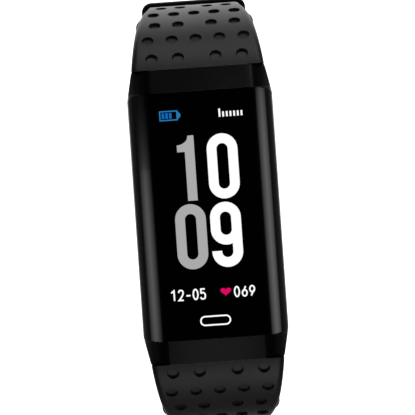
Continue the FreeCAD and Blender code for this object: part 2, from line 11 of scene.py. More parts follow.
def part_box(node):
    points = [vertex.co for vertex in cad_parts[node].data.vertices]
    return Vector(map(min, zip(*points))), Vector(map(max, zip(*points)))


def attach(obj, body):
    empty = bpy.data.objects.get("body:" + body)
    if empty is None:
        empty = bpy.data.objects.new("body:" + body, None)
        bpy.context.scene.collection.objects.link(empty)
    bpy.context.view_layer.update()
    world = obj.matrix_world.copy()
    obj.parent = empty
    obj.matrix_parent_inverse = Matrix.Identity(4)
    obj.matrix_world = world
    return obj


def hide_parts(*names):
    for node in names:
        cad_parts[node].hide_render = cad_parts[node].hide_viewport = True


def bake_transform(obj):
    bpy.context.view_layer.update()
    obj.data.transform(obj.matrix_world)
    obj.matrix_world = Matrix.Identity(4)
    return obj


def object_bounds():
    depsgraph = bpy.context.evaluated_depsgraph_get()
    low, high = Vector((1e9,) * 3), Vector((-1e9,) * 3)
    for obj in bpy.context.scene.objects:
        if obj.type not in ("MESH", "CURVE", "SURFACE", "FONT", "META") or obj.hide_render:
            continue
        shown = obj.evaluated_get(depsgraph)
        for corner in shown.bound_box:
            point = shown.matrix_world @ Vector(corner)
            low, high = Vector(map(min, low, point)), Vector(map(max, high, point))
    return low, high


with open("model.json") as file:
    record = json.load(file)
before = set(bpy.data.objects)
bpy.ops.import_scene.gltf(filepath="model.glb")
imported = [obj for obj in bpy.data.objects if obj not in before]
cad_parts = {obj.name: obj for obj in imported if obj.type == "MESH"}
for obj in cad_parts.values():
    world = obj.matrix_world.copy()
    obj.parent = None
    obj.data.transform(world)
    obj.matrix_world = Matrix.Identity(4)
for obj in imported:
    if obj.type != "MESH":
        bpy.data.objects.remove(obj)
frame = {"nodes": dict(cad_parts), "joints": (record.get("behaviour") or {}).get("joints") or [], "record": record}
cad_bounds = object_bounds()

# ---- sizes read from the frame ------------------------------------------------------------------
MM = 0.001


def cad_box(node):
    """Lowest and highest corner of a CAD node, in millimetres."""
    low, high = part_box(node)
    return low / MM, high / MM


JOINTS = {j["name"]: j for j in frame["joints"]}
FACE_Z = cad_box("lens_cover")[1].z
FACE_HALF = cad_box("lens_cover")[1].y
CASE_HALF = cad_box("upper_housing")[1].y
SEAM_GAP = 0.1            # between the case and the strap root
END_WALL_Y = cad_box("strap_root_upper")[0].y - SEAM_GAP
ROOT_BOTTOM = FACE_Z - 11.4
LOOP_R = cad_box("strap_arm_upper")[1].y
MID_R = JOINTS["upper_middle_flex"]["pos_m"][1] / MM
STRAP_T = 2 * (LOOP_R - MID_R)
STRAP_HALF = cad_box("strap_arm_upper")[1].x
ROOT_HALF = cad_box("strap_root_upper")[1].x
BAR_Y, BAR_Z = (v / MM for v in JOINTS["buckle_swing"]["pos_m"][1:])

CHIN = math.radians(28.0)
SHOULDER_R = 18.0
CHIN_DROP = (CASE_HALF - FACE_HALF) * math.tan(CHIN)
LIP_T = 1.3               # thickness of the chins' free edge
ROOT_BEND_Y = 22.0        # the root's underside turns down from here
TAIL_TIP_ARC = 50.6       # tip of the long strap, from its middle pivot

# holes, eye and buckle end
HOLE_ARCS = [8.0 + 6.2 * n for n in range(7)]
HOLE_R = 1.15
EYE_R = 1.9
EYE_REACH = 3.2           # the strap starts to thicken this far before the spring bar
BORE_R = 0.78
SLOT_HALF = 1.6

# wider lower layer of the root sleeve
FLANGE_TOP = FACE_Z - 9.4
FLANGE_TIP_Y = 26.9
FLANGE_TIP_HALF = 7.95
FLANGE_CORNER_R = 1.3
FLANGE_SOFT_R = 0.8

# distances along the strap's outer face, from the seam at the case
S_VERTICAL = SHOULDER_R * (math.pi / 2 - CHIN)
DROP = CHIN_DROP + SHOULDER_R * math.cos(CHIN)
S_MID = S_VERTICAL + FACE_Z - DROP
S_PER_ARC = LOOP_R / MID_R
S_BAR = S_MID + math.atan2(-BAR_Z, BAR_Y) * LOOP_R
S_TIP = S_MID + TAIL_TIP_ARC * S_PER_ARC
S_ROOT_END = 16.0
S_ARM_SEAM = 31.0
S_MIDDLE_SEAM = S_MID + 12.0
S_STEP = 0.7              # mesh step along plain lengths of strap

# ---- dimples ------------------------------------------------------------------------------------
ROW_PITCH = 3.3
FIRST_ROW = {1: 1.75, -1: 1.45}
DIMPLE_ROWS = 9
DIMPLE_R = 0.76
DIMPLE_DEPTH = 0.36
COLUMNS = 60
ROW_STEPS = 12
CELL_ROWS = 4
CELL_COLUMNS = 5
FOUR = (-0.755, -0.314, 0.314, 0.755)
FIVE = (-0.845, -0.42, 0.0, 0.42, 0.845)
EDGE_R = 0.7

# ---- keepers ------------------------------------------------------------------------------------
KEEPER_WALL = 0.7
KEEPER_ROOM = 2.3
KEEPER_CORNER_R = 1.0
FIXED_KEEPER_ARC = 11.0
FIXED_KEEPER_LEN = 4.0


# ---- general mesh helpers -----------------------------------------------------------------------
def new_object(name, verts, faces, material, smooth_deg=35.0):
    """Mesh object from millimetre points."""
    mesh = bpy.data.meshes.new(name)
    mesh.from_pydata([(x * MM, y * MM, z * MM) for x, y, z in verts], [], faces)
    bm = bmesh.new()
    bm.from_mesh(mesh)
    bmesh.ops.remove_doubles(bm, verts=bm.verts, dist=1e-7)
    bmesh.ops.recalc_face_normals(bm, faces=bm.faces)
    bm.to_mesh(mesh)
    bm.free()
    mesh.shade_smooth()
    mesh.set_sharp_from_angle(angle=math.radians(smooth_deg))
    obj = bpy.data.objects.new(name, mesh)
    bpy.context.scene.collection.objects.link(obj)
    mesh.materials.append(material)
    return obj


def apply_modifiers(obj):
    depsgraph = bpy.context.evaluated_depsgraph_get()
    mesh = bpy.data.meshes.new_from_object(obj.evaluated_get(depsgraph))
    obj.modifiers.clear()
    old = obj.data
    obj.data = mesh
    bpy.data.meshes.remove(old)


def cut(obj, cutters):
    """Takes the cutters out of obj, then removes them."""
    for tool in cutters:
        modifier = obj.modifiers.new("cut", "BOOLEAN")
        modifier.operation = "DIFFERENCE"
        modifier.solver = "EXACT"
        modifier.object = tool
    apply_modifiers(obj)
    for tool in cutters:
        bpy.data.objects.remove(tool)
    obj.data.shade_smooth()
    obj.data.set_sharp_from_angle(angle=math.radians(35))


# ---- materials ----------------------------------------------------------------------------------
def material(name, color, rough, metal=0.0, bump=0.0, bump_scale=900.0, mottle=0.0, coat=0.0,
             rough_var=0.0, edge=0.0):
    """Principled material with mottled colour, varied roughness and a fine noise bump.

    edge is the radius, in millimetres, by which the shading rounds sharp edges."""
    mat = bpy.data.materials.new(name)
    mat.use_nodes = True
    tree = mat.node_tree
    nodes, links = tree.nodes, tree.links
    shader = nodes["Principled BSDF"]
    shader.inputs["Base Color"].default_value = (*color, 1.0)
    shader.inputs["Roughness"].default_value = rough
    shader.inputs["Metallic"].default_value = metal
    shader.inputs["Specular IOR Level"].default_value = 0.5
    shader.inputs["Coat Weight"].default_value = coat
    shader.inputs["Coat Roughness"].default_value = 0.04
    coords = nodes.new("ShaderNodeTexCoord")
    if edge:
        rounded = nodes.new("ShaderNodeBevel")
        rounded.samples = 6
        rounded.inputs["Radius"].default_value = edge * MM
        links.new(rounded.outputs["Normal"], shader.inputs["Normal"])
    if mottle:
        noise = nodes.new("ShaderNodeTexNoise")
        noise.inputs["Scale"].default_value = 260.0
        noise.inputs["Detail"].default_value = 5.0
        links.new(coords.outputs["Object"], noise.inputs["Vector"])
        ramp = nodes.new("ShaderNodeValToRGB")
        ramp.color_ramp.elements[0].position = 0.3
        ramp.color_ramp.elements[1].position = 0.7
        ramp.color_ramp.elements[0].color = (*[c * (1 - mottle) for c in color], 1)
        ramp.color_ramp.elements[1].color = (*[c * (1 + mottle) for c in color], 1)
        links.new(noise.outputs["Fac"], ramp.inputs["Fac"])
        links.new(ramp.outputs["Color"], shader.inputs["Base Color"])
    if rough_var:
        patches = nodes.new("ShaderNodeTexNoise")
        patches.inputs["Scale"].default_value = 120.0
        patches.inputs["Detail"].default_value = 3.0
        links.new(coords.outputs["Object"], patches.inputs["Vector"])
        spread = nodes.new("ShaderNodeMapRange")
        spread.inputs["To Min"].default_value = rough - rough_var
        spread.inputs["To Max"].default_value = rough + rough_var
        links.new(patches.outputs["Fac"], spread.inputs["Value"])
        links.new(spread.outputs["Result"], shader.inputs["Roughness"])
    if bump:
        grain = nodes.new("ShaderNodeTexNoise")
        grain.inputs["Scale"].default_value = bump_scale
        grain.inputs["Detail"].default_value = 4.0
        links.new(coords.outputs["Object"], grain.inputs["Vector"])
        node = nodes.new("ShaderNodeBump")
        node.inputs["Strength"].default_value = bump
        node.inputs["Distance"].default_value = 0.00004
        links.new(grain.outputs["Fac"], node.inputs["Height"])
        if edge:
            links.new(rounded.outputs["Normal"], node.inputs["Normal"])
        links.new(node.outputs["Normal"], shader.inputs["Normal"])
    return mat


def glow(name, color):
    """Lit display ink: emission with a black body."""
    mat = bpy.data.materials.new(name)
    mat.use_nodes = True
    shader = mat.node_tree.nodes["Principled BSDF"]
    shader.inputs["Base Color"].default_value = (0.0, 0.0, 0.0, 1)
    shader.inputs["Roughness"].default_value = 0.3
    shader.inputs["Specular IOR Level"].default_value = 0.0
    shader.inputs["Emission Color"].default_value = (*color, 1)
    shader.inputs["Emission Strength"].default_value = 1.0
    return mat


SILICONE = material("silicone", (0.020, 0.020, 0.0205), 0.44, bump=0.35, bump_scale=2600, mottle=0.12,
                    rough_var=0.04)
GLASS = material("front_glass", (0.0006, 0.0006, 0.0008), 0.17, rough_var=0.01, coat=0.3, edge=0.07)
HOUSING = material("housing", (0.005, 0.005, 0.0053), 0.16, bump=0.06, bump_scale=3500, mottle=0.08,
                   rough_var=0.02, edge=0.06)
REAR = material("rear_plastic", (0.012, 0.012, 0.013), 0.42, bump=0.25, bump_scale=3000, mottle=0.1,
                rough_var=0.05, edge=0.15)
SEAL = material("seal", (0.03, 0.03, 0.033), 0.6, bump=0.2, mottle=0.1)
STEEL = material("steel", (0.56, 0.56, 0.57), 0.28, metal=1.0, bump=0.1, rough_var=0.06, edge=0.08)
GOLD = material("gold", (0.85, 0.62, 0.26), 0.22, metal=1.0, rough_var=0.05, edge=0.08)
PANEL = material("panel", (0.01, 0.01, 0.013), 0.2, rough_var=0.04)
TRAY = material("tray", (0.78, 0.78, 0.76), 0.5, bump=0.1, mottle=0.03)
AMBER = material("amber_film", (0.5, 0.24, 0.05), 0.3, mottle=0.1)
BOARD = material("board", (0.02, 0.17, 0.07), 0.35, bump=0.2, mottle=0.2)
CHIP = material("chip", (0.02, 0.02, 0.021), 0.5, bump=0.2, mottle=0.15, edge=0.08)
CERAMIC = material("ceramic", (0.75, 0.72, 0.64), 0.45, mottle=0.05)
FOIL = material("foil", (0.6, 0.61, 0.63), 0.35, metal=0.9, bump=0.4, bump_scale=500, rough_var=0.08)
TUNGSTEN = material("tungsten", (0.32, 0.31, 0.3), 0.4, metal=1.0, bump=0.3, mottle=0.1)
SENSOR = material("sensor_glass", (0.006, 0.010, 0.008), 0.05, coat=0.8, rough_var=0.01, edge=0.2)
LED = material("led", (0.08, 0.6, 0.25), 0.25, mottle=0.1)
LINER = material("liner", (0.03, 0.03, 0.03), 0.45, bump=0.2, mottle=0.1, edge=0.1)
BUCKLE = material("buckle_coat", (0.018, 0.018, 0.019), 0.3, metal=0.6, bump=0.15, bump_scale=2500,
                  rough_var=0.05, edge=0.2)

SLOT_MATERIALS = {
    "black_glass": GLASS, "housing_black": HOUSING, "rear_black": REAR, "seal_rubber": SEAL,
    "screw_steel": STEEL, "plug_black": REAR, "contact_gold": GOLD, "display": PANEL,
    "tray_white": TRAY, "flex_amber": AMBER, "board_green": BOARD, "chip_black": CHIP,
    "antenna_ceramic": CERAMIC, "battery_foil": FOIL, "motor_steel": STEEL,
    "motor_weight": TUNGSTEN, "sensor_glass": SENSOR, "led_green": LED,
    "strap_silicone": SILICONE, "liner_plastic": LINER, "buckle_black": BUCKLE,
}
for part in frame["record"]["subparts"]:
    node = frame["nodes"][part["node"]]
    node.data.materials.clear()
    node.data.materials.append(SLOT_MATERIALS[part["material_slot"]])


# ---- strap path ---------------------------------------------------------------------------------
def shoulder(angle, inward=0.0):
    """Point on the bend at the case where the strap slopes down by this angle."""
    y = CASE_HALF + SHOULDER_R * (math.sin(angle) - math.sin(CHIN))
    z = FACE_Z - CHIN_DROP - SHOULDER_R * (math.cos(CHIN) - math.cos(angle))
    return Vector((y - inward * math.sin(angle), z - inward * math.cos(angle)))


def outer(s):
    """Point of the outer face at distance s from the seam, and its outward normal."""
    if s < S_VERTICAL:
        angle = CHIN + s / SHOULDER_R
        return shoulder(angle), Vector((math.sin(angle), math.cos(angle)))
    if s < S_MID:
        return Vector((LOOP_R, S_MID - s)), Vector((1.0, 0.0))
    angle = (s - S_MID) / LOOP_R
    normal = Vector((math.cos(angle), -math.sin(angle)))
    return normal * LOOP_R, normal


def root_inner(s):
    """Inner face of the root: flat under the sleeve, then a bend that meets the even strap."""
    flat_from, flat_to = CASE_HALF + SEAM_GAP, ROOT_BEND_Y
    end = shoulder(CHIN + S_ROOT_END / SHOULDER_R, STRAP_T)
    centre = Vector((flat_to, end.y))
    radius_y, radius_z = end.x - flat_to, ROOT_BOTTOM - end.y
    share = s / S_ROOT_END
    flat_share = 0.3
    if share < flat_share:
        return Vector((flat_from + (flat_to - flat_from) * share / flat_share, ROOT_BOTTOM))
    turn = (share - flat_share) / (1 - flat_share) * math.pi / 2
    return Vector((centre.x + radius_y * math.sin(turn), centre.y + radius_z * math.cos(turn)))


def half_width(s):
    """Half width of the strap's top layer: drawn in slowly at the case, faster over the bend."""
    y = outer(s)[0].x
    if s > S_VERTICAL - 1.0:
        return STRAP_HALF
    share = min(1.0, (y - CASE_HALF) / (LOOP_R - 0.35 - CASE_HALF))
    bulge = (1.6 * share + 2.6 * share ** 3) * (1 - share)
    return ROOT_HALF + (STRAP_HALF - ROOT_HALF) * share + bulge


class Station:
    """One cross section of the strap: an outer and an inner point, a half width, a corner radius."""

    def __init__(self, out, inn, half, corner=EDGE_R):
        self.out, self.inn, self.half = out, inn, half
        self.normal = (out - inn).normalized()
        self.corner = min(corner, half * 0.9, (out - inn).length * 0.49)

    def point(self, x, depth):
        p = self.out - self.normal * depth
        return (x, p.x, p.y)


def station(s, grow=0.0, half=None):
    out, normal = outer(s)
    if s < S_ROOT_END:
        inn = root_inner(s)
    else:
        inn = out - normal * (STRAP_T + grow)
        out = out + normal * grow
    return Station(out, inn, half_width(s) if half is None else half)


def ring(st, corner_steps=5, inner_steps=10):
    """Closed loop of one station: the flat outer face first, then round the edge and back."""
    flat = st.half - st.corner
    loop = [st.point(-flat + 2 * flat * i / COLUMNS, 0.0) for i in range(COLUMNS + 1)]
    depth = (st.out - st.inn).length
    c = st.corner
    for k in range(1, corner_steps + 1):
        a = math.pi / 2 * k / corner_steps
        loop.append(st.point(flat + c * math.sin(a), c - c * math.cos(a)))
    for k in range(0, corner_steps + 1):
        a = math.pi / 2 * k / corner_steps
        loop.append(st.point(flat + c * math.cos(a), depth - c + c * math.sin(a)))
    for k in range(1, inner_steps):
        loop.append(st.point(flat - 2 * flat * k / inner_steps, depth))
    for k in range(corner_steps, -1, -1):
        a = math.pi / 2 * k / corner_steps
        loop.append(st.point(-flat - c * math.cos(a), depth - c + c * math.sin(a)))
    for k in range(corner_steps, 0, -1):
        a = math.pi / 2 * k / corner_steps
        loop.append(st.point(-flat - c * math.sin(a), c - c * math.cos(a)))
    return loop


def dimple(verts, faces, boundary, s_mid, x_share):
    """Fills one cell of the outer face with a round blind dimple."""
    st = station(s_mid)
    x_mid = x_share * (st.half - st.corner)
    angles = []
    for index in boundary:
        x, y, z = verts[index]
        p = Vector((y, z)) - st.out
        along = Vector((-st.normal.y, st.normal.x))
        angles.append(math.atan2(p.dot(along), x - x_mid))
    rings = ((DIMPLE_R + 0.05, 0.0), (DIMPLE_R, 0.05), (DIMPLE_R * 0.97, DIMPLE_DEPTH - 0.07),
             (DIMPLE_R * 0.9, DIMPLE_DEPTH), (DIMPLE_R * 0.75, DIMPLE_DEPTH + 0.01),
             (DIMPLE_R * 0.4, DIMPLE_DEPTH + 0.01))
    previous = list(boundary)
    for radius, depth in rings:
        current = []
        for a in angles:
            p, n = outer(s_mid - math.sin(a) * radius)
            current.append(len(verts))
            verts.append((x_mid + radius * math.cos(a), p.x - n.x * depth, p.y - n.y * depth))
        for k in range(len(previous)):
            m = (k + 1) % len(previous)
            faces.append((previous[k], previous[m], current[m], current[k]))
        previous = current
    faces.append(tuple(previous))


def strap_mesh(name, stations, side, rows=()):
    """Closed skin through the stations. rows holds (first grid row, last grid row, s, columns)."""
    verts, faces = [], []
    loops = []
    for st in stations:
        loop = ring(st)
        loops.append(range(len(verts), len(verts) + len(loop)))
        verts.extend(loop)
    count = len(loops[0])
    skipped = set()
    cells = []
    for first, last, s_mid, shares in rows:
        for share in shares:
            centre = (share + 1) / 2 * COLUMNS
            low = max(1, round(centre - CELL_COLUMNS))
            high = min(COLUMNS - 1, round(centre + CELL_COLUMNS))
            cells.append((first, last, low, high, s_mid, share))
            skipped.update((j, i) for j in range(first, last) for i in range(low, high))
    for j in range(len(loops) - 1):
        for i in range(count):
            if (j, i) in skipped:
                continue
            m = (i + 1) % count
            faces.append((loops[j][i], loops[j][m], loops[j + 1][m], loops[j + 1][i]))
    for first, last, low, high, s_mid, share in cells:
        boundary = [loops[first][i] for i in range(low, high)]
        boundary += [loops[j][high] for j in range(first, last)]
        boundary += [loops[last][i] for i in range(high, low, -1)]
        boundary += [loops[j][low] for j in range(last, first, -1)]
        dimple(verts, faces, boundary, s_mid, share)
    faces.append(tuple(loops[0]))
    faces.append(tuple(loops[-1]))
    verts = [(x, side * y, z) for x, y, z in verts]
    return new_object(name, verts, faces, SILICONE)


def even(a, b, step):
    """Values from a to b in even steps of about step."""
    n = max(1, math.ceil((b - a) / step))
    return [a + (b - a) * k / n for k in range(n + 1)]


def root_skin(side, word):
    """Strap from the case, over the shoulder, to half way down the arm, with its dimples."""
    wall = END_WALL_Y + SEAM_GAP
    seam = CASE_HALF + SEAM_GAP
    lip = FACE_Z - CHIN_DROP - LIP_T - SEAM_GAP
    stations = [Station(Vector((wall, lip)), Vector((wall, ROOT_BOTTOM)), ROOT_HALF),
                Station(Vector((seam - 0.05, lip)), Vector((seam - 0.05, ROOT_BOTTOM)), ROOT_HALF)]
    step = ROW_PITCH / ROW_STEPS
    first = FIRST_ROW[side]
    values = [0.0, 0.12]
    grid_start = first - CELL_ROWS * step
    values += [v for v in even(0.12, grid_start, step)[1:-1]]
    rows = []
    for k in range(DIMPLE_ROWS * ROW_STEPS):
        row, place = divmod(k, ROW_STEPS)
        if place == 0:
            start = len(values) + len(stations)
            rows.append((start, start + 2 * CELL_ROWS, first + row * ROW_PITCH,
                         FIVE if row % 2 else FOUR))
        values.append(grid_start + k * step)
    values += even(values[-1] + step, S_ARM_SEAM, step)
    stations += [station(v) for v in values]
    obj = strap_mesh(f"strap_skin_{word}", stations, side, rows)
    cut(obj, [socket_tool(side)])
    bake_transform(obj)
    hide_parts(f"strap_root_{word}", f"strap_arm_{word}")


def socket_tool(side):
    """Room for the liner and the tongue, open towards the case."""
    low, high = cad_box("socket_liner_upper")
    tool = cutter_box((low.x, high.x), (low.y - 1.0, high.y), (low.z, high.z))
    if side < 0:
        tool.data.transform(Matrix.Diagonal((1, -1, 1, 1)))
        tool.data.flip_normals()
    return tool


def sleeve_flange(side, word):
    """Wider lower layer of the root sleeve, with rounded corners and softened edges."""
    root_half = ROOT_HALF + 0.02
    radius, soft = FLANGE_CORNER_R, FLANGE_SOFT_R
    top, bottom = FLANGE_TOP, ROOT_BOTTOM - 0.01
    start = END_WALL_Y + SEAM_GAP + 0.01
    slope = math.atan2(root_half - FLANGE_TIP_HALF, FLANGE_TIP_Y - CASE_HALF)
    corner = Vector((FLANGE_TIP_HALF - radius, FLANGE_TIP_Y - radius))
    outline = [(root_half, start), (root_half, CASE_HALF)]
    for k in range(9):
        a = -slope + (math.pi / 2 + slope) * k / 8
        outline.append((corner.x + radius * math.cos(a), corner.y + radius * math.sin(a)))
    outline += [(-x, y) for x, y in reversed(outline)]
    verts, faces = [], []
    turns = [math.pi / 2 * k / 6 for k in range(7)]
    layers = [(soft - soft * math.sin(a), bottom + soft - soft * math.cos(a)) for a in turns]
    layers += [(soft - soft * math.cos(a), top - soft + soft * math.sin(a)) for a in turns]
    n = len(outline)
    for inset, z in layers:
        for x, y in outline:
            scale_x = 1 - inset / FLANGE_TIP_HALF
            verts.append((x * scale_x, side * min(y, FLANGE_TIP_Y - inset), z))
    for j in range(len(layers) - 1):
        for i in range(n):
            m = (i + 1) % n
            faces.append((j * n + i, j * n + m, (j + 1) * n + m, (j + 1) * n + i))
    faces.append(tuple(range(n)))
    faces.append(tuple(range((len(layers) - 1) * n, len(layers) * n)))
    obj = new_object(f"sleeve_flange_{word}", verts, faces, SILICONE)
    cut(obj, [socket_tool(side)])
    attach(obj, f"{word}_root")


def buckle_end_skin():
    """Short strap from half way down the arm to the eye round the spring bar."""
    stations = [station(v) for v in even(S_ARM_SEAM, S_BAR - EYE_REACH, S_STEP)]
    for k in range(1, 9):
        s = S_BAR - EYE_REACH + (EYE_REACH - 1.0) * k / 8
        share = k / 8
        half_t = STRAP_T / 2 + (math.sqrt(EYE_R ** 2 - 1.0) - STRAP_T / 2) * share ** 2
        stations.append(eye_station(s, half_t))
    first = math.asin(-1.0 / EYE_R)
    for k in range(1, 15):
        a = first + (math.pi / 2 * 0.985 - first) * k / 14
        stations.append(eye_station(S_BAR + EYE_R * math.sin(a) * S_PER_ARC, EYE_R * math.cos(a)))
    obj = strap_mesh("strap_end_skin_upper", stations, 1)
    slot = cutter_box((-SLOT_HALF, SLOT_HALF), (-2.6, 4), (-4, 4))
    place_on_arc(slot, S_BAR)
    bore = cutter_rod(BORE_R, 20.0, "X")
    place_on_arc(bore, S_BAR)
    cut(obj, [slot, bore])
    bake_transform(obj)
    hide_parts("strap_end_upper")


def eye_station(s, half_t):
    """Station at the eye, with equal thickness on both sides of the strap's middle."""
    p, n = outer(s)
    mid = p - n * STRAP_T / 2
    return Station(mid + n * half_t, mid - n * half_t, STRAP_HALF, 0.5)


def cutter_box(x, y, z):
    """Box from three (low, high) pairs, as a boolean tool."""
    corners = [(i, j, k) for i in x for j in y for k in z]
    quads = [(0, 1, 3, 2), (4, 6, 7, 5), (0, 4, 5, 1), (2, 3, 7, 6), (0, 2, 6, 4), (1, 5, 7, 3)]
    return new_object("cutter", corners, quads, SILICONE)


def cutter_rod(radius, length, axis):
    """Rod along X or Z, as a boolean tool."""
    bm = bmesh.new()
    turn = Matrix.Rotation(math.pi / 2, 4, "Y") if axis == "X" else Matrix.Identity(4)
    bmesh.ops.create_cone(bm, cap_ends=True, segments=40, radius1=radius * MM,
                          radius2=radius * MM, depth=length * MM, matrix=turn)
    mesh = bpy.data.meshes.new("cutter")
    bm.to_mesh(mesh)
    bm.free()
    obj = bpy.data.objects.new("cutter", mesh)
    bpy.context.scene.collection.objects.link(obj)
    return obj


def place_on_arc(obj, s, side=1):
    """Moves a mesh drawn at the origin (X across, Y along the strap, Z outwards) to the round half."""
    angle = (s - S_MID) / LOOP_R
    turn = Matrix.Rotation(-math.pi / 2 - angle, 4, "X")
    place = Matrix.Translation((0, MID_R * math.cos(angle) * MM, -MID_R * math.sin(angle) * MM))
    obj.data.transform(place @ turn)
    if side < 0:
        obj.data.transform(Matrix.Diagonal((1, -1, 1, 1)))
        obj.data.flip_normals()


def middle_skin():
    """Long strap from half way down the arm to between the first holes."""
    stations = [station(v) for v in even(S_ARM_SEAM, S_MIDDLE_SEAM, S_STEP)]
    obj = strap_mesh("strap_middle_skin_lower", stations, -1)
    cut(obj, hole_tools(S_ARM_SEAM, S_MIDDLE_SEAM))
    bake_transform(obj)
    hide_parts("strap_middle_lower")


def hole_tools(s_from, s_to):
    """Rods for the adjustment holes that lie between these distances."""
    tools = []
    for from_pivot in HOLE_ARCS:
        s = S_MID + from_pivot * S_PER_ARC
        if s_from < s < s_to:
            tool = cutter_rod(HOLE_R, 8.0, "Z")
            place_on_arc(tool, s, -1)
            tools.append(tool)
    return tools


def tail_skin():
    """Last length of the long strap, with the adjustment holes and a round tip."""
    s_round = S_TIP - STRAP_HALF
    stations = [station(v) for v in even(S_MIDDLE_SEAM, s_round, S_STEP)]
    for k in range(1, 19):
        a = math.pi / 2 * k / 18 * 0.985
        half = STRAP_HALF * math.cos(a)
        stations.append(station(s_round + STRAP_HALF * math.sin(a), half=half))
    obj = strap_mesh("strap_tail_skin_lower", stations, -1)
    cut(obj, hole_tools(S_MIDDLE_SEAM, S_TIP))
    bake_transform(obj)
    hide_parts("strap_tail_lower")


# ---- keeper loops -------------------------------------------------------------------------------
def loop_mesh(name, half_x, low, high, wall, length, radius):
    """Rounded rectangular loop lying in the XZ plane of its own frame, length along Y.

    half_x, low and high bound the opening."""
    centre = (low + high) / 2
    half_z = (high - low) / 2
    mid_x, mid_z = half_x + wall / 2, half_z + wall / 2
    path = []
    steps = 8
    for sx, sz, start in ((1, 1, 0), (-1, 1, 90), (-1, -1, 180), (1, -1, 270)):
        for k in range(steps + 1):
            a = math.radians(start + 90 * k / steps)
            path.append((Vector((sx * (mid_x - radius) + radius * math.cos(a),
                                 sz * (mid_z - radius) + radius * math.sin(a))),
                         Vector((math.cos(a), math.sin(a)))))
    soft = min(0.4, wall * 0.45)
    section = []
    for sw, sl, start in ((1, 1, 0), (-1, 1, 90), (-1, -1, 180), (1, -1, 270)):
        for k in range(5):
            a = math.radians(start + 90 * k / 4)
            section.append((sw * (wall / 2 - soft) + soft * math.cos(a),
                            sl * (length / 2 - soft) + soft * math.sin(a)))
    verts, faces = [], []
    n = len(section)
    for p, normal in path:
        for across, along in section:
            q = p + normal * across
            verts.append((q.x, along, q.y + centre))
    count = len(path)
    for j in range(count):
        nxt = (j + 1) % count
        for i in range(n):
            m = (i + 1) % n
            faces.append((j * n + i, j * n + m, nxt * n + m, nxt * n + i))
    return new_object(name, verts, faces, SILICONE)


def make_keepers():
    """The loose loop and the fixed one, each round its own solid."""
    low, high = cad_box("free_keeper")
    wall = KEEPER_WALL
    loop = loop_mesh("keeper_loop", high.x - wall, -(high.y - low.y) / 2 + wall,
                     (high.y - low.y) / 2 - wall, wall, high.z - low.z, KEEPER_CORNER_R)
    middle = (low + high) / 2
    turn = Matrix.Rotation(-math.pi / 2, 4, "X")
    loop.data.transform(Matrix.Translation((0, middle.y * MM, middle.z * MM)) @ turn)
    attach(loop, "keeper")
    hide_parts("free_keeper")
    fixed = loop_mesh("fixed_keeper_loop", STRAP_HALF - 0.05, -STRAP_T / 2 + 0.05,
                      STRAP_T / 2 + KEEPER_ROOM, wall, FIXED_KEEPER_LEN, KEEPER_CORNER_R)
    place_on_arc(fixed, S_MID + FIXED_KEEPER_ARC * S_PER_ARC)
    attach(fixed, "upper_end")
    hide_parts("fixed_keeper")


# ---- display content ----------------------------------------------------------------------------
INK_LIFT = 0.02
INK_T = 0.03


def ink(name, polygons, mat):
    """Thin lit shapes lying on the glass. Each polygon is a list of (u, v) on the display."""
    verts, faces = [], []
    for poly in polygons:
        base = len(verts)
        n = len(poly)
        for z in (FACE_Z + INK_LIFT - INK_T, FACE_Z + INK_LIFT):
            verts.extend((u, v, z) for u, v in poly)
        faces.append(tuple(range(base, base + n))[::-1])
        faces.append(tuple(range(base + n, base + 2 * n)))
        for k in range(n):
            m = (k + 1) % n
            faces.append((base + k, base + m, base + n + m, base + n + k))
    mesh = bpy.data.meshes.new(name)
    mesh.from_pydata([(x * MM, y * MM, z * MM) for x, y, z in verts], [], faces)
    bm = bmesh.new()
    bm.from_mesh(mesh)
    bmesh.ops.recalc_face_normals(bm, faces=bm.faces)
    bm.to_mesh(mesh)
    bm.free()
    mesh.materials.append(mat)
    obj = bpy.data.objects.new(name, mesh)
    bpy.context.scene.collection.objects.link(obj)
    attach(obj, "case")


def ribbon(points, width, closed=False):
    """Quads along a line, mitred at its points."""
    pts = [Vector(p) for p in points]
    n = len(pts)
    left, right = [], []
    for k, p in enumerate(pts):
        before = pts[k - 1] if (k or closed) else None
        after = pts[(k + 1) % n] if (k < n - 1 or closed) else None
        d1 = (p - before).normalized() if before is not None else (after - p).normalized()
        d2 = (after - p).normalized() if after is not None else d1
        normal = Vector((-(d1.y + d2.y), d1.x + d2.x)).normalized()
        stretch = 1 / max(0.35, normal.dot(Vector((-d1.y, d1.x))))
        left.append(p + normal * width / 2 * stretch)
        right.append(p - normal * width / 2 * stretch)
    quads = []
    for k in range(n if closed else n - 1):
        m = (k + 1) % n
        quads.append([tuple(left[k]), tuple(left[m]), tuple(right[m]), tuple(right[k])])
    return quads


def arc(cx, cy, rx, ry, start, end, steps=16):
    return [(cx + rx * math.cos(math.radians(start + (end - start) * k / steps)),
             cy + ry * math.sin(math.radians(start + (end - start) * k / steps)))
            for k in range(steps + 1)]


def smooth(points, steps=5):
    """Catmull-Rom curve through the points."""
    pts = [Vector(p) for p in points]
    pts = [2 * pts[0] - pts[1]] + pts + [2 * pts[-1] - pts[-2]]
    out = []
    for a, b, c, d in zip(pts, pts[1:], pts[2:], pts[3:]):
        for k in range(steps):
            t = k / steps
            out.append(tuple(0.5 * ((2 * b) + (c - a) * t + (2 * a - 5 * b + 4 * c - d) * t ** 2
                                    + (3 * b - a - 3 * c + d) * t ** 3)))
    out.append(tuple(pts[-2]))
    return out


def stadium(half_w, half_h):
    """Closed upright stadium."""
    straight = half_h - half_w
    return (arc(0, straight, half_w, half_w, 0, 180) + arc(0, -straight, half_w, half_w, 180, 360))


def moved(points, u, v):
    return [(x + u, y + v) for x, y in points]


BIG_HALF_W, BIG_HALF_H, BIG_STROKE = 1.37, 3.62, 1.28


def big_zero(u, v):
    return ribbon(moved(stadium(BIG_HALF_W, BIG_HALF_H), u, v), BIG_STROKE, True)


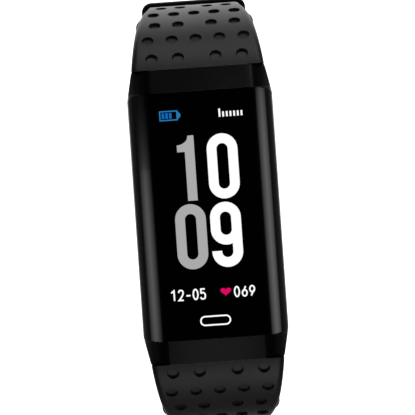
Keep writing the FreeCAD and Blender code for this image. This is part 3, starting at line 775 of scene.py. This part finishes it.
def big_nine(u, v):
    r = BIG_HALF_W
    top = BIG_HALF_H - r
    loop_low = -0.7 + r
    bowl = arc(0, top, r, r, 0, 180) + arc(0, loop_low, r, r, 180, 360)
    tail = [(r, top)] + arc(0, -top, r, r, 0, -180) + [(-r, -2.1)]
    return ribbon(moved(bowl, u, v), BIG_STROKE, True) + ribbon(moved(tail, u, v), BIG_STROKE)


def big_one(u, v):
    top = BIG_HALF_H + BIG_STROKE / 2
    tip = -0.98
    sweep = arc(tip, top + 0.35, 1.65, 1.55, -10, -90, 10)
    flag = [(0.5, top - 0.001)] + [(x, y) for x, y in sweep if y < top - 0.002]
    flag += [(tip, top - 2.1), (0.02, top - 2.1), (0.4, top - 2.1)]
    bar = [(1.28, top), (0.5, top), (0.4, top - 2.1), (0.02, top - 2.1), (0.02, -top), (1.28, -top)]
    return [moved(bar, u, v), moved(flag, u, v)]


SMALL = {
    "1": [[(0, .78), (.62, 1), (.62, 0)]],
    "2": [smooth([(.02, .76), (.16, .95), (.5, 1), (.86, .94), (.98, .72), (.82, .48), (.4, .2), (.02, 0)])
          + [(1.02, 0)]],
    "-": [[(0.05, .42), (.95, .42)]],
    "0": [None],
    "5": [[(.98, 1), (.12, 1), (.08, .56)],
          smooth([(.08, .56), (.5, .64), (.88, .54), (1, .32), (.86, .07), (.5, 0), (.14, .05), (0, .2)])],
    "6": [[(.78, 1), (.3, .56), (.1, .45)], None],
    "9": [[(.22, 0), (.7, .44), (.9, .55)], None],
}


def small_text(text, u, v, width, height, stroke, advance):
    """Small stroke numerals centred on (u, v)."""
    total = advance * (len(text) - 1)
    polys = []
    for index, numeral in enumerate(text):
        left = u - total / 2 + index * advance - width / 2
        low = v - height / 2
        for line in SMALL[numeral]:
            closed = line is None
            if closed:
                if numeral == "0":
                    line = [(0.5 + x, 0.5 + y) for x, y in arc(0, 0, .5, .5, 0, 345, 23)]
                elif numeral == "6":
                    line = arc(.5, .32, .5, .32, 0, 345, 23)
                else:
                    line = arc(.5, .68, .5, .32, 0, 345, 23)
            scaled = [(left + x * width, low + y * height) for x, y in line]
            polys += ribbon(scaled, stroke, closed)
    return polys


def make_display():
    white = glow("ink_white", (1, 1, 1))
    grey = glow("ink_grey", (0.41, 0.405, 0.405))
    blue = glow("ink_blue", (0.006, 0.13, 0.50))
    blue_line = glow("ink_blue_line", (0.02, 0.19, 0.44))
    pink = glow("ink_pink", (0.72, 0.003, 0.12))
    ink("hour_tens", big_one(-2.45, 6.2), grey)
    ink("hour_units", big_zero(2.45, 6.2), white)
    ink("minute_tens", big_zero(-2.3, -2.75), grey)
    ink("minute_units", big_nine(2.27, -2.75), white)
    days = [(2.43 + 0.48 * n, 12.62, 13.7 if n == 0 else 13.3) for n in range(7)]
    ink("day_row", [quad for x, low, high in days for quad in ribbon([(x, low), (x, high)], 0.24)], white)
    ink("date", small_text("12-05", -3.27, -10.3, 0.6, 1.3, 0.2, 0.955), white)
    ink("pulse_value", small_text("069", 4.1, -10.3, 0.6, 1.28, 0.2, 1.0), white)
    heart = []
    for k in range(48):
        t = 2 * math.pi * k / 48
        x = 16 * math.sin(t) ** 3
        y = 13 * math.cos(t) - 5 * math.cos(2 * t) - 2 * math.cos(3 * t) - math.cos(4 * t)
        heart.append((1.65 + x * 0.044, -10.15 + y * 0.037))
    ink("pulse_heart", [heart], pink)
    pill = arc(1.42, -13.85, 0.57, 0.57, -90, 90, 14) + arc(-1.3, -13.85, 0.57, 0.57, 90, 270, 14)
    ink("touch_key_mark", ribbon(pill, 0.2, True), white)
    battery = [(-5.36, 12.62), (-3.12, 12.62), (-3.12, 13.78), (-5.36, 13.78)]
    ink("battery_outline", ribbon(battery, 0.16, True), blue_line)
    nub = [(-3.07, 12.62), (-2.8, 12.92), (-2.66, 13.04), (-2.66, 13.36), (-2.8, 13.48), (-3.07, 13.78)]
    ink("battery_nub", [nub], blue_line)
    bars = [[(x, 12.83), (x + 0.34, 12.83), (x + 0.34, 13.57), (x, 13.57)] for x in (-5.12, -4.64, -4.16)]
    ink("battery_bars", bars, blue)


# ---- straps, keepers and display ----------------------------------------------------------------
for strap_side, strap_word in ((1, "upper"), (-1, "lower")):
    root_skin(strap_side, strap_word)
    sleeve_flange(strap_side, strap_word)
buckle_end_skin()
middle_skin()
tail_skin()
make_keepers()
make_display()


# ---- stage, light and camera --------------------------------------------------------------------
FLOOR_DROP = 0.022         # the opened straps hang clear of the floor


def make_stage():
    """Pale floor with a painted pool of light under the object: its glow is strong near the middle and fades to
    almost nothing further out.
    """
    size = 1.6
    z = cad_bounds[0][2] - FLOOR_DROP
    verts = [(-size, -size, z), (size, -size, z), (size, size, z), (-size, size, z)]
    mesh = bpy.data.meshes.new("floor")
    mesh.from_pydata(verts, [], [(0, 1, 2, 3)])
    floor = bpy.data.objects.new("floor", mesh)
    bpy.context.scene.collection.objects.link(floor)
    mat = bpy.data.materials.new("floor_with_painted_light_pool")
    mat.use_nodes = True
    nodes, links = mat.node_tree.nodes, mat.node_tree.links
    shader = nodes["Principled BSDF"]
    shader.inputs["Base Color"].default_value = (0.8, 0.8, 0.8, 1)
    shader.inputs["Roughness"].default_value = 0.9
    shader.inputs["Specular IOR Level"].default_value = 0.1
    # painted light: the floor glows white in a pool round a point a little towards +Y, narrower across X
    shader.inputs["Emission Color"].default_value = (1, 1, 1, 1)
    coords = nodes.new("ShaderNodeTexCoord")
    shift = nodes.new("ShaderNodeVectorMath")
    shift.operation = "SUBTRACT"
    shift.inputs[1].default_value = (0.0, 0.11, z)
    links.new(coords.outputs["Object"], shift.inputs[0])
    narrow = nodes.new("ShaderNodeVectorMath")
    narrow.operation = "MULTIPLY"
    narrow.inputs[1].default_value = (2.2, 1.0, 1.0)
    links.new(shift.outputs["Vector"], narrow.inputs[0])
    reach = nodes.new("ShaderNodeVectorMath")
    reach.operation = "LENGTH"
    links.new(narrow.outputs["Vector"], reach.inputs[0])
    # painted pool of light: emission strength 1.5 near the middle, falling smoothly to 0.03 further out
    pool = nodes.new("ShaderNodeMapRange")
    pool.interpolation_type = "SMOOTHSTEP"
    pool.inputs["From Min"].default_value = 0.15
    pool.inputs["From Max"].default_value = 0.23
    pool.inputs["To Min"].default_value = 1.5
    pool.inputs["To Max"].default_value = 0.03
    links.new(reach.outputs["Value"], pool.inputs["Value"])
    links.new(pool.outputs["Result"], shader.inputs["Emission Strength"])
    mesh.materials.append(mat)


def panel(name, azimuth, from_top, distance, size_x, size_y, radiance, spread=180.0, offset=0.0):
    """Soft box aimed at the display. azimuth runs from +X to +Y, from_top is measured from +Z."""
    face = Vector((0, 0, FACE_Z * MM))
    azimuth, from_top = math.radians(azimuth), math.radians(from_top)
    way = Vector((math.sin(from_top) * math.cos(azimuth), math.sin(from_top) * math.sin(azimuth),
                  math.cos(from_top)))
    across = Vector((-math.sin(azimuth), math.cos(azimuth), 0))
    light = bpy.data.lights.new(name, "AREA")
    light.shape = "RECTANGLE"
    light.size, light.size_y = size_x, size_y
    light.energy = radiance * math.pi * size_x * size_y
    light.spread = math.radians(spread)
    obj = bpy.data.objects.new(name, light)
    up = across.cross(way)
    turn = Matrix((across, -up, way)).transposed().to_4x4()
    obj.matrix_world = Matrix.Translation(face + way * distance + across * offset) @ turn
    bpy.context.scene.collection.objects.link(obj)


def make_lights():
    """Boxes for the long sides, the chins and the steep ends of the straps, and a dark room."""
    panel("right_box", 0, 66, 0.20, 0.068, 0.17, 0.20, 60, -0.008)
    panel("left_box", 180, 60, 0.20, 0.042, 0.22, 0.18, 60, 0.011)
    panel("upper_chin_box", 90, 54, 0.12, 0.04, 0.04, 0.018, 60, -0.022)
    panel("lower_chin_box", -90, 58, 0.12, 0.014, 0.04, 0.022, 60)
    panel("upper_strap_box", 80, 76, 0.5, 0.3, 0.15, 2.6)
    panel("lower_strap_box", -88, 75, 0.6, 0.14, 0.15, 3.5)
    world = bpy.data.worlds.new("studio")
    world.use_nodes = True
    nodes, links = world.node_tree.nodes, world.node_tree.links
    coords = nodes.new("ShaderNodeTexCoord")
    split = nodes.new("ShaderNodeSeparateXYZ")
    ramp = nodes.new("ShaderNodeValToRGB")
    ramp.color_ramp.elements[0].position = 0.0
    ramp.color_ramp.elements[0].color = (0.06, 0.06, 0.06, 1)
    ramp.color_ramp.elements[1].position = 0.35
    ramp.color_ramp.elements[1].color = (0.003, 0.003, 0.003, 1)
    links.new(coords.outputs["Generated"], split.inputs[0])
    links.new(split.outputs["Z"], ramp.inputs["Fac"])
    links.new(ramp.outputs["Color"], nodes["Background"].inputs["Color"])
    nodes["Background"].inputs["Strength"].default_value = 1.0
    bpy.context.scene.world = world


def make_camera():
    """Camera straight above the display, turned a little about the vertical."""
    distance = 300.0
    px_per_mm = 7.66
    frame_px = 415.0
    off_x, off_y = 0.3, 7.0
    roll = math.radians(4.0)
    camera = bpy.data.cameras.new("camera")
    camera.sensor_width = 36.0
    camera.lens = 36.0 * distance * px_per_mm / frame_px
    camera.clip_start = 0.01
    obj = bpy.data.objects.new("camera", camera)
    turn = Matrix.Rotation(-roll, 4, "Z")
    shift = turn @ Vector((-off_x / px_per_mm, off_y / px_per_mm, 0))
    place = Vector((shift.x, shift.y, FACE_Z + distance)) * MM
    obj.matrix_world = Matrix.Translation(place) @ turn
    bpy.context.scene.collection.objects.link(obj)
    bpy.context.scene.camera = obj


make_stage()
make_lights()
make_camera()
bpy.context.scene.view_settings.view_transform = "Standard"
